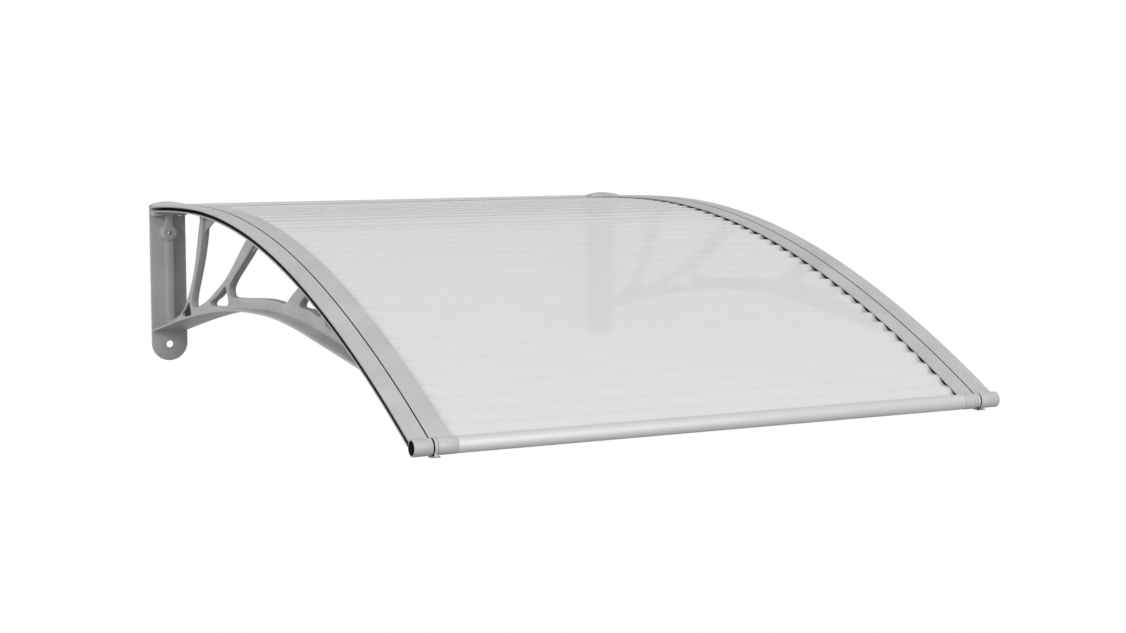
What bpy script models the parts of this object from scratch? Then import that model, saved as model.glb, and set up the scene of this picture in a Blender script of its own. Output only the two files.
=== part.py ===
"""Polycarbonate door canopy with its two brackets, in metres, +Z up.

X runs along the wall, the canopy reaches out to -Y, and the origin lies on
the wall plane at the centreline of the left bracket, where the roof line
meets the wall. The roof line is the underside of the cover lips, which is
also 0.3 mm above the sheet.
"""
from math import cos, pi, sin

import bmesh
import bpy
from mathutils import Matrix, Vector

# Overall width, and the width of one bracket with its two covers
OVERALL_WIDTH = 0.800
STRIP_WIDTH = 0.052
HALF_STRIP = STRIP_WIDTH / 2
ARM_SPACING = OVERALL_WIDTH - STRIP_WIDTH

GAP = 0.0003             # between pieces that touch
SINK = 0.0006            # how far a joined shape reaches into its neighbour
TOUCH = 0.0001           # keeps two faces from lying in one plane
OVERRUN = 0.0020         # how far a cutter passes a face
STATIONS = 28            # places along the roof line where a long piece bends

# The roof line: three tangent arcs (length along the roof, radius), level where the rear arc ends
ROOF_ARCS = ((0.200, 2.95), (0.465, 1.48), (0.600, 1.90))
NOSE_AT = 1.0390         # along the roof line, to the centre of the nose
NOSE_DROP = -0.0011      # from the roof line to the centre of the nose
NOSE_RADIUS = 0.0098

# Heights square to the roof line
FLANGE_TOP = -0.0050
FLANGE_BOTTOM = -0.0070
FIN_TOP = 0.0006
LIP_TOP = 0.0020
CROWN = 0.0010
COVER_WALL = 0.0020

# The groove between the two covers of a bracket, and what stands beside it
SEAM = 0.0014
SEAM_ASIDE = -0.0028     # along X from the bracket's centreline, the same on both brackets
FIN = 0.003
LEG_INNER = FIN / 2 + GAP
LEG_OUTER = 0.0068
SHEET_MARGIN = LEG_OUTER + GAP
RING = 0.0050            # from the seam to the inner face of the nose ring
NECK = 0.025             # from the nose centre back along the roof line
NUB = (0.0110, 0.0013)   # width and thickness of the pad under the nose
NUB_HALF_DEPTH = (0.0050, 0.0040)
NUB_FORWARD = 0.0030     # its middle, ahead of the nose's axis

# The bracket
PLATE_WIDTH = 0.055
PLATE_THICKNESS = 0.0045
TAB_END = -0.2330
TAB_CENTRE = TAB_END + PLATE_WIDTH / 2
WEB = 0.011
WEB_END = 0.852
ARCH_BAND = 0.003
BOSS = 0.026
BOSS_DEPTH = 0.0165
BOSS_HOLE = 0.006
BOSS_HEIGHT = -0.0375
TAB_HOLE = 0.011
TAB_HOLE_HEIGHT = -0.2080
HEAD_DEPTH = 0.020
HEAD_BOTTOM = -0.0110
HEAD_EDGE = 0.0051
HEAD_CROWN = 0.0042
POCKET_WALL = 0.0032     # left of the web between its two pockets

# Underside of the lower arch: distance from the wall, height, slope
ARCH = ((0.0, -0.1885, 0.205), (0.28, -0.1348, 0.14), (0.525, -0.1167, 0.0),
        (0.675, -0.1267, -0.122), (0.865, -0.1497, -0.120))

# The openings of the web: (distance from the wall, height) points joined by smooth curves, then
# the distances at which the outline returns along the flange
WINDOW_REAR = (((0.1830, -0.0057), (0.1772, -0.0247), (0.1657, -0.0542), (0.1517, -0.0842),
                (0.1328, -0.1105), (0.1140, -0.1312), (0.0902, -0.1496), (0.0586, -0.1622),
                (0.0230, -0.1695), (0.0175, -0.1690), (0.0155, -0.1650), (0.0155, -0.1200),
                (0.0155, -0.0700), (0.0155, -0.0150)),
               (0.020, 0.080, 0.140, 0.175))
WINDOW_MIDDLE = (((0.1974, -0.0150), (0.1964, -0.0236), (0.1879, -0.0456), (0.1797, -0.0620),
                  (0.1689, -0.0801), (0.1570, -0.0980), (0.1465, -0.1130), (0.1395, -0.1250),
                  (0.1372, -0.1330), (0.1395, -0.1385), (0.1470, -0.1390), (0.1752, -0.1340),
                  (0.2235, -0.1191), (0.2567, -0.1050), (0.2938, -0.0881), (0.3258, -0.0691),
                  (0.3528, -0.0508), (0.3749, -0.0360), (0.3930, -0.0250)),
                 (0.409, 0.370, 0.330, 0.290, 0.250, 0.201))
WINDOW_LOW = (((0.2955, -0.0977), (0.2608, -0.1131), (0.2260, -0.1268), (0.2270, -0.1287),
               (0.2415, -0.1287), (0.2691, -0.1268), (0.3060, -0.1216), (0.3085, -0.1190),
               (0.3079, -0.1140), (0.3017, -0.1030), (0.2990, -0.0985)),
              ())
WINDOW_FRONT = (((0.4210, -0.0317), (0.3954, -0.0467), (0.3605, -0.0666), (0.3230, -0.0890),
                 (0.3128, -0.0980), (0.3125, -0.1050), (0.3180, -0.1086), (0.3300, -0.1092),
                 (0.3584, -0.1078), (0.4091, -0.1039), (0.4502, -0.1008), (0.4822, -0.0994),
                 (0.5134, -0.0994), (0.5370, -0.0998), (0.5450, -0.0985), (0.5670, -0.0871),
                 (0.5933, -0.0742)),
                (0.618, 0.580, 0.540, 0.500, 0.450))
WINDOW_SMALL = (((0.6147, -0.0845), (0.5960, -0.0965), (0.5955, -0.0992), (0.6000, -0.0996),
                 (0.6320, -0.1003), (0.6640, -0.1056), (0.6690, -0.1048), (0.6830, -0.0960)),
                (0.697, 0.670, 0.643))
WINDOW_TIP = (((0.6870, -0.1040), (0.6830, -0.1085), (0.6850, -0.1118), (0.7007, -0.1169),
               (0.7500, -0.1230), (0.7800, -0.1262)),
              (0.795, 0.765, 0.735, 0.712))
WINDOWS = (WINDOW_REAR, WINDOW_MIDDLE, WINDOW_LOW, WINDOW_FRONT, WINDOW_SMALL, WINDOW_TIP)
POCKET = ((0.1213, -0.1350), (0.1056, -0.1453), (0.0920, -0.1545), (0.0940, -0.1562),
          (0.1320, -0.1520), (0.1338, -0.1500), (0.1290, -0.1400), (0.1260, -0.1350))

# Thin plates in the corners between the first two struts and the flange
GUSSETS = (((0.1940, -0.0300), (0.2025, -0.0234), (0.2169, -0.0170), (0.2451, -0.0060),
            (0.2200, 0.0005), (0.1900, -0.0020)),
           ((0.3950, -0.0440), (0.4038, -0.0423), (0.4120, -0.0393), (0.4255, -0.0345),
            (0.4400, -0.0284), (0.4560, -0.0226), (0.4560, -0.0215), (0.4200, -0.0165),
            (0.3950, -0.0300)))
GUSSET = 0.0026

# The sheet: sine flutes that run along the wall
FLUTE_PITCH = 0.0262
FLUTE_DEPTH = 0.0035
FLUTE_CREST = 1.036      # one crest, along the roof line
SHEET_THICKNESS = 0.0009
SHEET_START = 0.006
SHEET_END = NOSE_AT - 0.003
SHEET_SPAN = (SEAM_ASIDE + SHEET_MARGIN, ARM_SPACING + SEAM_ASIDE - SHEET_MARGIN)

# The bars and the rod between the brackets
BAR_BACK = (0.0018, 0.0043)
LEDGE_END = 0.0165
LEDGE = 0.0020
BAR_TOP = 0.0036
SEAL_TOP = 0.0049
SEAL_THICKNESS = 0.0015
SEAL_MARGIN = 0.0005
FRONT_BAR_RADIUS = NOSE_RADIUS - GAP
SPIGOT = 0.008
SPIGOT_LENGTH = 0.020
SPIGOT_SINK = 0.004
SPIGOT_AHEAD = 0.0030    # the spigot's centre, ahead of the nose centre
ROD = 0.005
ROD_AT = 0.392
ROD_DROP = -0.0092
ROD_SEAT = 0.0085        # bottom of the rod's socket, from the bracket's centreline
SOCKET_WALL = 0.0015

# Screws: places along the roof line, and to the side of the seam or the bracket's centreline
SCREWS_AT = (0.100, 0.500, 0.950)
SCREW_ASIDE = 0.0043
SCREW_SHANK = 0.0026
SCREW_HEAD = 0.0056
SCREW_CAP = (0.0014, 0.0006)     # heights of the head's rim and dome
SCREW_TIP = 0.0
BAR_SCREW_AT = 0.0105
BAR_SCREW_ASIDE = 0.0160
BAR_SCREW_SEAT = HEAD_BOTTOM - 0.0009
BAR_SCREW_TIP = FLANGE_TOP - 0.0004


def roof(along, lift=0.0):
    """Distance from the wall and height of a point on the roof line, lifted square to it."""
    distance, height, slope = 0.0, 0.0, -ROOF_ARCS[0][0] / ROOF_ARCS[0][1]
    rest = along
    for length, radius in ROOF_ARCS:
        run = min(rest, length)
        turned = slope + run / radius
        distance += radius * (sin(turned) - sin(slope))
        height += radius * (cos(turned) - cos(slope))
        slope = turned
        rest -= run
    return distance + lift * sin(slope), height + lift * cos(slope)


def along_at(distance):
    """Place along the roof line at a distance from the wall."""
    low, high = 0.0, NOSE_AT
    for _ in range(30):
        middle = (low + high) / 2
        if roof(middle)[0] < distance:
            low = middle
        else:
            high = middle
    return low


def under_arch(distance, lift=0.0):
    """Point on the underside of the lower arch, lifted by the given height."""
    for (d0, z0, m0), (d1, z1, m1) in zip(ARCH, ARCH[1:]):
        if distance <= d1:
            break
    span = d1 - d0
    t = (distance - d0) / span
    height = (z0 * (1 + 2 * t) * (1 - t) ** 2 + m0 * span * t * (1 - t) ** 2
              + z1 * t * t * (3 - 2 * t) + m1 * span * t * t * (t - 1))
    return distance, height + lift


def steps(first, last, count):
    return [first + (last - first) * k / count for k in range(count + 1)]


def start():
    for old in list(bpy.data.objects):
        bpy.data.objects.remove(old, do_unlink=True)
    parts = bpy.data.collections.new("polycarbonate_door_canopy")
    cutters = bpy.data.collections.new("cutters")
    bpy.context.scene.collection.children.link(parts)
    bpy.context.scene.collection.children.link(cutters)
    return parts, cutters


PARTS, CUTTERS = start()


def placed(name, mesh):
    made = bpy.data.objects.new(name, mesh)
    CUTTERS.objects.link(made)
    return made


def closed(mesh):
    """Weld the mesh and turn all faces outward."""
    shape = bmesh.new()
    shape.from_mesh(mesh)
    bmesh.ops.remove_doubles(shape, verts=shape.verts, dist=0.00002)
    bmesh.ops.recalc_face_normals(shape, faces=shape.faces)
    shape.to_mesh(mesh)
    shape.free()
    return mesh


def solid_from(curve, name):
    """Plain object from a curve, with its place kept in the mesh."""
    scratch = placed(name + "_curve", curve)
    bpy.context.view_layer.update()
    view = scratch.evaluated_get(bpy.context.evaluated_depsgraph_get())
    mesh = bpy.data.meshes.new_from_object(view)
    bpy.data.objects.remove(scratch, do_unlink=True)
    mesh.name = name
    return placed(name, closed(mesh))


def filled(name, loops, thickness, rounded):
    """Flat outline filled between its loops and extruded; the first rounded points of a loop curve."""
    curve = bpy.data.curves.new(name, "CURVE")
    curve.dimensions = "2D"
    curve.fill_mode = "BOTH"
    curve.resolution_u = 2
    for loop, smooth in zip(loops, rounded):
        spline = curve.splines.new("BEZIER" if smooth else "POLY")
        points = spline.bezier_points if smooth else spline.points
        points.add(len(loop) - 1)
        for number, (point, (across, height)) in enumerate(zip(points, loop)):
            if smooth:
                point.co = (across, height, 0)
                handle = "AUTO" if number < smooth else "VECTOR"
                point.handle_left_type = point.handle_right_type = handle
            else:
                point.co = (across, height, 0, 1)
        spline.use_cyclic_u = True
    curve.extrude = thickness / 2
    return solid_from(curve, name)


def slab(name, loops, x_low, x_high, rounded=None):
    """Side outline of (distance, height) loops, extruded along X between two places."""
    made = filled(name, loops, x_high - x_low, rounded or [0] * len(loops))
    middle = (x_low + x_high) / 2
    made.data.transform(Matrix(((0, 0, -1, middle), (-1, 0, 0, 0), (0, 1, 0, 0), (0, 0, 0, 1))))
    return made


def plate(name, outline, near, far):
    """Front outline of (x, height) points, extruded between two distances from the wall."""
    made = filled(name, [outline], far - near, [0])
    middle = -(near + far) / 2
    made.data.transform(Matrix(((1, 0, 0, 0), (0, 0, -1, middle), (0, 1, 0, 0), (0, 0, 0, 1))))
    return made


def swept(name, section, first, last, count, x):
    """Section of (x, lift) points carried along the roof line."""
    profile = bpy.data.curves.new(name + "_section", "CURVE")
    profile.dimensions = "2D"
    outline = profile.splines.new("POLY")
    outline.points.add(len(section) - 1)
    for point, (aside, lift) in zip(outline.points, section):
        point.co = (-aside, lift, 0, 1)
    outline.use_cyclic_u = True
    shape = placed(name + "_section", profile)
    path = bpy.data.curves.new(name, "CURVE")
    path.dimensions = "3D"
    path.twist_mode = "Z_UP"
    path.bevel_mode = "OBJECT"
    path.bevel_object = shape
    path.use_fill_caps = True
    run = path.splines.new("POLY")
    run.points.add(count)
    for point, along in zip(run.points, steps(first, last, count)):
        distance, height = roof(along)
        point.co = (x, -distance, height, 1)
    made = solid_from(path, name)
    bpy.data.objects.remove(shape, do_unlink=True)
    return made


def cylinder(name, radius, length, sides, place):
    """Closed cylinder about local Z, put in place by a matrix."""
    shape = bmesh.new()
    bmesh.ops.create_cone(shape, cap_ends=True, segments=sides, radius1=radius, radius2=radius,
                          depth=length)
    mesh = bpy.data.meshes.new(name)
    shape.to_mesh(mesh)
    shape.free()
    mesh.transform(place)
    return placed(name, mesh)


def rod_along_x(name, radius, x_low, x_high, distance, height, sides):
    place = Matrix.Translation(((x_low + x_high) / 2, -distance, height)) @ Matrix.Rotation(pi / 2, 4, "Y")
    return cylinder(name, radius, x_high - x_low, sides, place)


def rod_from_wall(name, radius, x, height, near, far, sides):
    place = Matrix.Translation((x, -(near + far) / 2, height)) @ Matrix.Rotation(pi / 2, 4, "X")
    return cylinder(name, radius, far - near, sides, place)


def pin(name, radius, low, high, along, x, sides=10):
    """Cylinder square to the roof line between two lifts."""
    (d0, z0), (d1, z1) = roof(along, low), roof(along, high)
    foot, top = Vector((x, -d0, z0)), Vector((x, -d1, z1))
    up = (top - foot).normalized()
    side = Vector((1, 0, 0))
    turned = Matrix((side, up.cross(side), up)).transposed().to_4x4()
    return cylinder(name, radius, high - low, sides, Matrix.Translation((foot + top) / 2) @ turned)


def combine(target, tool, operation):
    """Join or cut; all shapes are closed, and this solver keeps them so when a size changes."""
    cut = target.modifiers.new(operation.lower(), "BOOLEAN")
    cut.operation = operation
    cut.solver = "MANIFOLD"
    cut.object = tool
    bpy.context.view_layer.update()
    view = target.evaluated_get(bpy.context.evaluated_depsgraph_get())
    mesh = bpy.data.meshes.new_from_object(view)
    target.modifiers.clear()
    old = target.data
    target.data = mesh
    bpy.data.meshes.remove(old)
    bpy.data.objects.remove(tool, do_unlink=True)


def add(target, *tools):
    for tool in tools:
        combine(target, tool, "UNION")


def cut(target, *tools):
    for tool in tools:
        combine(target, tool, "DIFFERENCE")


def finish(made, name, colour, roughness, metallic=0.0, alpha=1.0, smooth=0.0):
    """Name the piece, give it its own material and put it with the parts."""
    made.name = name
    made.data.name = name
    closed(made.data)
    material = bpy.data.materials.new(name)
    material.use_nodes = True
    shader = material.node_tree.nodes["Principled BSDF"]
    shader.inputs["Base Color"].default_value = (*colour, 1)
    shader.inputs["Roughness"].default_value = roughness
    shader.inputs["Metallic"].default_value = metallic
    shader.inputs["Alpha"].default_value = alpha
    made.data.materials.clear()
    made.data.materials.append(material)
    if smooth:
        made.data.shade_smooth()
        made.data.set_sharp_from_angle(angle=smooth)
    CUTTERS.objects.unlink(made)
    PARTS.objects.link(made)


GREY = (0.46, 0.46, 0.45)
LIGHT_GREY = (0.53, 0.53, 0.53)
CLEAR = (0.72, 0.74, 0.75)
STEEL = (0.60, 0.60, 0.58)
BLACK = (0.03, 0.03, 0.03)
ROUND = 40               # sides of the rolls and the boss
SMALL_ROUND = 24         # sides of holes, rod and spigot
NOSE = roof(NOSE_AT, NOSE_DROP)
SPIGOT_PLACE = roof(NOSE_AT + SPIGOT_AHEAD, NOSE_DROP)
ROD_PLACE = roof(ROD_AT, ROD_DROP)


def bar_outline(grow=0.0):
    """Side outline of the rear bar: a back wall with a ledge over and under the sheet."""
    near, inner = BAR_BACK
    upper, lower = GAP, FLANGE_TOP
    corners = ((near - grow, lower - LEDGE - grow), (LEDGE_END + grow, lower - LEDGE - grow),
               (LEDGE_END + grow, lower + grow), (inner + grow, lower + grow),
               (inner + grow, upper - grow), (LEDGE_END + grow, upper - grow),
               (LEDGE_END + grow, upper + LEDGE + grow), (inner + grow, upper + LEDGE + grow),
               (inner + grow, BAR_TOP + grow), (near - grow, BAR_TOP + grow))
    return [roof(along, lift) for along, lift in corners]


def band_outline(first, last, low, high):
    """Side outline that follows the roof line between two lifts."""
    return ([roof(s, low) for s in steps(first, last, STATIONS)]
            + [roof(s, high) for s in steps(last, first, STATIONS)])


def sheet_slot():
    """Side outline of the room for the sheet's front edge, open to the rear."""
    back, front = NOSE_AT - NOSE_RADIUS - 2 * OVERRUN, SHEET_END + GAP
    return [roof(back, GAP), roof(front, GAP), roof(front, FLANGE_TOP - GAP), roof(back, FLANGE_TOP - GAP)]


def web(name, x):
    """Central web between the arch and the flange, with its windows."""
    below = [under_arch(d, ARCH_BAND / 2) for d in steps(OVERRUN, WEB_END, STATIONS)]
    above = [roof(s, FLANGE_TOP - SINK) for s in steps(along_at(WEB_END - OVERRUN), OVERRUN, STATIONS)]
    loops, rounded = [below + above], [0]
    for points, returns in WINDOWS:
        loops.append(list(points) + [roof(along_at(d), FLANGE_BOTTOM + SINK) for d in returns])
        rounded.append(len(points))
    return slab(name, loops, x - WEB / 2, x + WEB / 2, rounded)


def wall_plate(name, x):
    half = PLATE_WIDTH / 2
    tab = [(x + half * sin(a), TAB_CENTRE - half * cos(a)) for a in steps(-pi / 2, pi / 2, 20)]
    top = HEAD_EDGE - SINK
    return plate(name, tab + [(x + half, top), (x - half, top)], 0.0, PLATE_THICKNESS)


def head_block(name, x):
    """Block at the wall that takes the rear bar, crowned on top."""
    half = HALF_STRIP - TOUCH
    outline = [(x - half, HEAD_BOTTOM), (x + half, HEAD_BOTTOM)]
    for u in steps(half, -half, 12):
        outline.append((x + u, HEAD_EDGE + HEAD_CROWN * (1 - (u / half) ** 2)))
    return plate(name, outline, SINK, HEAD_DEPTH)


def bracket(name, x, inward):
    """One moulded bracket; inward is +1 where the sheet lies towards +X, else -1."""
    seam = x + SEAM_ASIDE

    def span(low, high, centre=x):
        return sorted((centre + inward * low, centre + inward * high))

    flange_end = NOSE_AT - NOSE_RADIUS - GAP
    flange = band_outline(OVERRUN, flange_end, FLANGE_BOTTOM, FLANGE_TOP)
    fin = band_outline(2 * OVERRUN, flange_end - SINK, FLANGE_TOP - SINK, FIN_TOP)
    arch_end = WEB_END + OVERRUN
    arch = ([under_arch(d) for d in steps(SINK, arch_end, STATIONS)]
            + [under_arch(d, ARCH_BAND) for d in steps(arch_end - 4 * OVERRUN, SINK, STATIONS)])
    arm = web(name, x)
    add(arm, slab(name + "_flange", [flange], *span(-HALF_STRIP, HALF_STRIP)),
        slab(name + "_arch", [arch], *span(-HALF_STRIP - GAP, HALF_STRIP + GAP)),
        wall_plate(name + "_plate", x),
        head_block(name + "_head", x),
        slab(name + "_fin", [fin], *span(-FIN / 2, FIN / 2, seam)),
        rod_from_wall(name + "_boss", BOSS / 2, x, BOSS_HEIGHT, SINK, BOSS_DEPTH, ROUND))
    for number, gusset in enumerate(GUSSETS):
        add(arm, slab(f"{name}_gusset_{number}", [gusset], *span(-GUSSET / 2, GUSSET / 2)))

    neck_bottom = NOSE_DROP - NOSE_RADIUS + 2 * SINK
    neck = [roof(s, neck_bottom) for s in steps(NOSE_AT - NECK, NOSE_AT, 3)]
    neck += [roof(s, FLANGE_TOP - GAP) for s in steps(NOSE_AT, NOSE_AT - NECK, 3)]
    nub_top = NOSE[1] - NOSE_RADIUS - GAP
    nub_width, nub_thickness = NUB
    wide, narrow = NUB_HALF_DEPTH
    middle = NOSE[0] + NUB_FORWARD
    nub = [(middle - wide, nub_top), (middle - narrow, nub_top - nub_thickness),
           (middle + narrow, nub_top - nub_thickness), (middle + wide, nub_top)]
    root = [(middle - narrow, nub_top + narrow), (middle - narrow, nub_top - SINK),
            (middle + narrow, nub_top - SINK), (middle + narrow, nub_top + narrow)]
    add(arm, slab(name + "_neck", [neck], *span(SEAM / 2 + TOUCH, RING - TOUCH, seam)),
        rod_along_x(name + "_ring", NOSE_RADIUS, *span(SEAM / 2, RING, seam), *NOSE, ROUND),
        slab(name + "_nub", [nub], *span(-nub_width / 2, nub_width / 2)),
        slab(name + "_root", [root], *span(SEAM / 2 + TOUCH, RING - TOUCH, seam)),
        rod_along_x(name + "_socket", ROD / 2 + SOCKET_WALL, *span(OVERRUN, HALF_STRIP - SOCKET_WALL),
                    *ROD_PLACE, SMALL_ROUND))

    for side in (-1, 1):
        low, high = sorted((side * POCKET_WALL / 2, side * WEB))
        cut(arm, slab(name + "_pocket", [POCKET], *span(low, high), rounded=[len(POCKET)]))
    reach = HEAD_DEPTH + OVERRUN
    room = [roof(BAR_BACK[1], FLANGE_TOP + TOUCH), roof(reach, FLANGE_TOP + TOUCH), roof(reach, 0.0),
            roof(BAR_BACK[1], 0.0)]
    cut(arm, rod_from_wall(name + "_boss_hole", BOSS_HOLE / 2, x, BOSS_HEIGHT, -reach, reach, SMALL_ROUND),
        rod_from_wall(name + "_tab_hole", TAB_HOLE / 2, x, TAB_HOLE_HEIGHT, -reach, reach, SMALL_ROUND),
        rod_along_x(name + "_rod_hole", ROD / 2 + GAP, *span(ROD_SEAT, STRIP_WIDTH), *ROD_PLACE, SMALL_ROUND),
        slab(name + "_bar_pocket", [bar_outline(GAP)], *span(LEG_OUTER, STRIP_WIDTH, seam)),
        slab(name + "_sheet_room", [room], *span(LEG_OUTER, STRIP_WIDTH, seam)))
    for along in SCREWS_AT:
        for aside in (-SCREW_ASIDE, SCREW_ASIDE):
            cut(arm, pin(name + "_screw_hole", SCREW_SHANK / 2 + GAP, FLANGE_BOTTOM - OVERRUN,
                         FLANGE_TOP + OVERRUN, along, seam + aside))
    cut(arm, pin(name + "_bar_screw_hole", SCREW_SHANK / 2 + GAP, BAR_SCREW_SEAT - OVERRUN,
                 FLANGE_TOP - LEDGE / 2, BAR_SCREW_AT, x + inward * BAR_SCREW_ASIDE))
    finish(arm, name, GREY, 0.45, smooth=0.6)


def cover(name, x, inward, towards):
    """One cover; towards is +1 for the inner cover over the sheet, -1 for the outer one."""
    turn = inward * towards
    seam = x + SEAM_ASIDE
    edge = HALF_STRIP - turn * SEAM_ASIDE

    def top(aside):
        return LIP_TOP + CROWN * (1 - ((SEAM_ASIDE + turn * aside) / HALF_STRIP) ** 2)

    def span(low, high):
        return sorted((seam + turn * low, seam + turn * high))

    outline = [(u, top(u)) for u in steps(SEAM / 2, edge, 6)]
    outline += [(u, top(u) - COVER_WALL) for u in steps(edge, LEG_OUTER, 3)]
    outline += [(LEG_OUTER, FLANGE_TOP + GAP), (LEG_INNER, FLANGE_TOP + GAP)]
    outline += [(u, top(u) - COVER_WALL) for u in (LEG_INNER, SEAM / 2)]
    shell = swept(name, [(turn * u, lift) for u, lift in outline], along_at(HEAD_DEPTH) + 2 * GAP,
                  NOSE_AT - NOSE_RADIUS / 2, STATIONS, seam)
    inner = towards > 0
    roll_from = RING + GAP if inner else SEAM / 2
    add(shell, rod_along_x(name + "_roll", NOSE_RADIUS, *span(roll_from, edge), *NOSE, ROUND))
    if inner:
        ring_room = span(-OVERRUN, roll_from)
        cut(shell, rod_along_x(name + "_ring_room", NOSE_RADIUS + GAP, *ring_room, *NOSE, ROUND))
        spigot = span(edge - SPIGOT_SINK, edge + SPIGOT_LENGTH)
        add(shell, rod_along_x(name + "_spigot", SPIGOT / 2, *spigot, *SPIGOT_PLACE, SMALL_ROUND))
        cut(shell, slab(name + "_slot", [sheet_slot()], *span(SHEET_MARGIN, edge + OVERRUN)))
    else:
        bore = NOSE_RADIUS - SOCKET_WALL
        cut(shell, rod_along_x(name + "_bore", bore, *span(FIN, edge + OVERRUN), *NOSE, ROUND))
    for along in SCREWS_AT:
        cut(shell, pin(name + "_screw_hole", SCREW_SHANK / 2 + GAP, FLANGE_TOP - OVERRUN, SCREW_TIP + GAP,
                       along, seam + turn * SCREW_ASIDE))
    finish(shell, name, GREY, 0.45, smooth=0.6)


def screw(name, along, seat, x, tip):
    """Screw with a domed head under the seat and its shank upward."""
    rim, dome = SCREW_CAP
    top = seat - GAP
    head = pin(name, SCREW_HEAD / 2, top - rim, top, along, x, 14)
    add(head, pin(name + "_dome", SCREW_HEAD / 2 - dome, top - rim - dome, top - SINK, along, x, 14),
        pin(name + "_shank", SCREW_SHANK / 2, top - SINK, tip, along, x))
    finish(head, name, STEEL, 0.3, 1.0, smooth=0.6)


def sheet():
    """Fluted sheet, with a crest 0.3 mm under the roof line and a trough 0.3 mm over the flange."""
    count = round((SHEET_END - SHEET_START) / FLUTE_PITCH * 6)
    middle = -GAP - FLUTE_DEPTH / 2 - SHEET_THICKNESS / 2
    wave = [(s, middle + FLUTE_DEPTH / 2 * cos(2 * pi * (FLUTE_CREST - s) / FLUTE_PITCH))
            for s in steps(SHEET_START, SHEET_END, count)]
    over = [roof(s, w + SHEET_THICKNESS / 2) for s, w in wave]
    under = [roof(s, w - SHEET_THICKNESS / 2) for s, w in wave]
    finish(slab("roof_sheet", [over + under[::-1]], *SHEET_SPAN), "roof_sheet", CLEAR, 0.25, alpha=0.6,
           smooth=0.6)


def front_bar():
    """Round bar between the noses, slotted for the sheet and bored for the spigots."""
    bar = rod_along_x("front_bar", FRONT_BAR_RADIUS, HALF_STRIP + GAP, ARM_SPACING - HALF_STRIP - GAP,
                      *NOSE, ROUND)
    cut(bar, slab("bar_slot", [sheet_slot()], 0.0, ARM_SPACING),
        rod_along_x("bar_bore", SPIGOT / 2 + GAP, 0.0, ARM_SPACING, *SPIGOT_PLACE, SMALL_ROUND))
    finish(bar, "front_bar", LIGHT_GREY, 0.4, smooth=0.6)


def rear_bar():
    """Bar at the wall that holds the sheet's rear edge, screwed from below into both brackets."""
    bar = slab("rear_bar", [bar_outline()], *SHEET_SPAN)
    for foot in (BAR_SCREW_ASIDE, ARM_SPACING - BAR_SCREW_ASIDE):
        cut(bar, pin("bar_hole", SCREW_SHANK / 2 + GAP, FLANGE_TOP - LEDGE - OVERRUN, FLANGE_TOP + GAP * 3,
                     BAR_SCREW_AT, foot))
    finish(bar, "rear_bar", LIGHT_GREY, 0.4)


def wall_seal():
    outline = [(0.0, FLANGE_BOTTOM), (SEAL_THICKNESS, FLANGE_BOTTOM), (SEAL_THICKNESS, SEAL_TOP),
               (0.0, SEAL_TOP)]
    aside = PLATE_WIDTH / 2 + SEAL_MARGIN
    finish(slab("wall_seal", [outline], aside, ARM_SPACING - aside), "wall_seal", BLACK, 0.8)


bracket("left_bracket", 0.0, 1)
bracket("right_bracket", ARM_SPACING, -1)
cover("left_outer_cover", 0.0, 1, -1)
cover("left_inner_cover", 0.0, 1, 1)
cover("right_inner_cover", ARM_SPACING, -1, 1)
cover("right_outer_cover", ARM_SPACING, -1, -1)
sheet()
front_bar()
rear_bar()
wall_seal()
finish(rod_along_x("middle_rod", ROD / 2, ROD_SEAT + GAP, ARM_SPACING - ROD_SEAT - GAP, *ROD_PLACE,
                   SMALL_ROUND), "middle_rod", STEEL, 0.35, 1.0, smooth=0.6)

for side, arm_at, inward in (("left", 0.0, 1), ("right", ARM_SPACING, -1)):
    for place, along in zip(("rear", "middle", "front"), SCREWS_AT):
        for edge, towards in (("outer", -1), ("inner", 1)):
            screw(f"{side}_{edge}_{place}_screw", along, FLANGE_BOTTOM,
                  arm_at + SEAM_ASIDE + inward * towards * SCREW_ASIDE, SCREW_TIP)
    screw(f"{side}_rear_bar_screw", BAR_SCREW_AT, BAR_SCREW_SEAT, arm_at + inward * BAR_SCREW_ASIDE,
          BAR_SCREW_TIP)
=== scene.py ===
from math import cos, pi, radians, sin

import bmesh
import bpy
from mathutils import Matrix, Vector


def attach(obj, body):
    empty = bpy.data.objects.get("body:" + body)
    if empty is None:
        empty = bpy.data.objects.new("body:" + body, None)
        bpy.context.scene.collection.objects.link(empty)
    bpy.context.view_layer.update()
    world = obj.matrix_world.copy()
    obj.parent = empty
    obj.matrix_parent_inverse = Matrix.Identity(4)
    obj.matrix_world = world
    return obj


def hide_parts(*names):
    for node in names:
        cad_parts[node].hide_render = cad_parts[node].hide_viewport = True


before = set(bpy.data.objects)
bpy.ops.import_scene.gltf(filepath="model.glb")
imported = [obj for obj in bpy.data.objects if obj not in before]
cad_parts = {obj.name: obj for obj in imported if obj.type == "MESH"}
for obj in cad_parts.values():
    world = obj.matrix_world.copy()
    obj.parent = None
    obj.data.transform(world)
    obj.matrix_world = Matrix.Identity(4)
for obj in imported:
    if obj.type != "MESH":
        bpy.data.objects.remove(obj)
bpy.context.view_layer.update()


# The viewpoint: a long lens at the left front of the canopy, a little above it and tilted down,
# as in the photograph.
CAMERA_PLACE = (-0.8589, -2.9552, 0.1467)
CAMERA_TURN = radians(27.48)     # from straight at the wall towards the right
CAMERA_TILT = radians(5.92)      # downwards
CAMERA_LENS = 63.56              # mm, on a sensor 36 mm wide
camera_data = bpy.data.cameras.new("camera")
camera_data.sensor_width = 36
camera_data.lens = CAMERA_LENS
camera = bpy.data.objects.new("camera", camera_data)
bpy.context.scene.collection.objects.link(camera)
camera.location = CAMERA_PLACE
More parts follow.
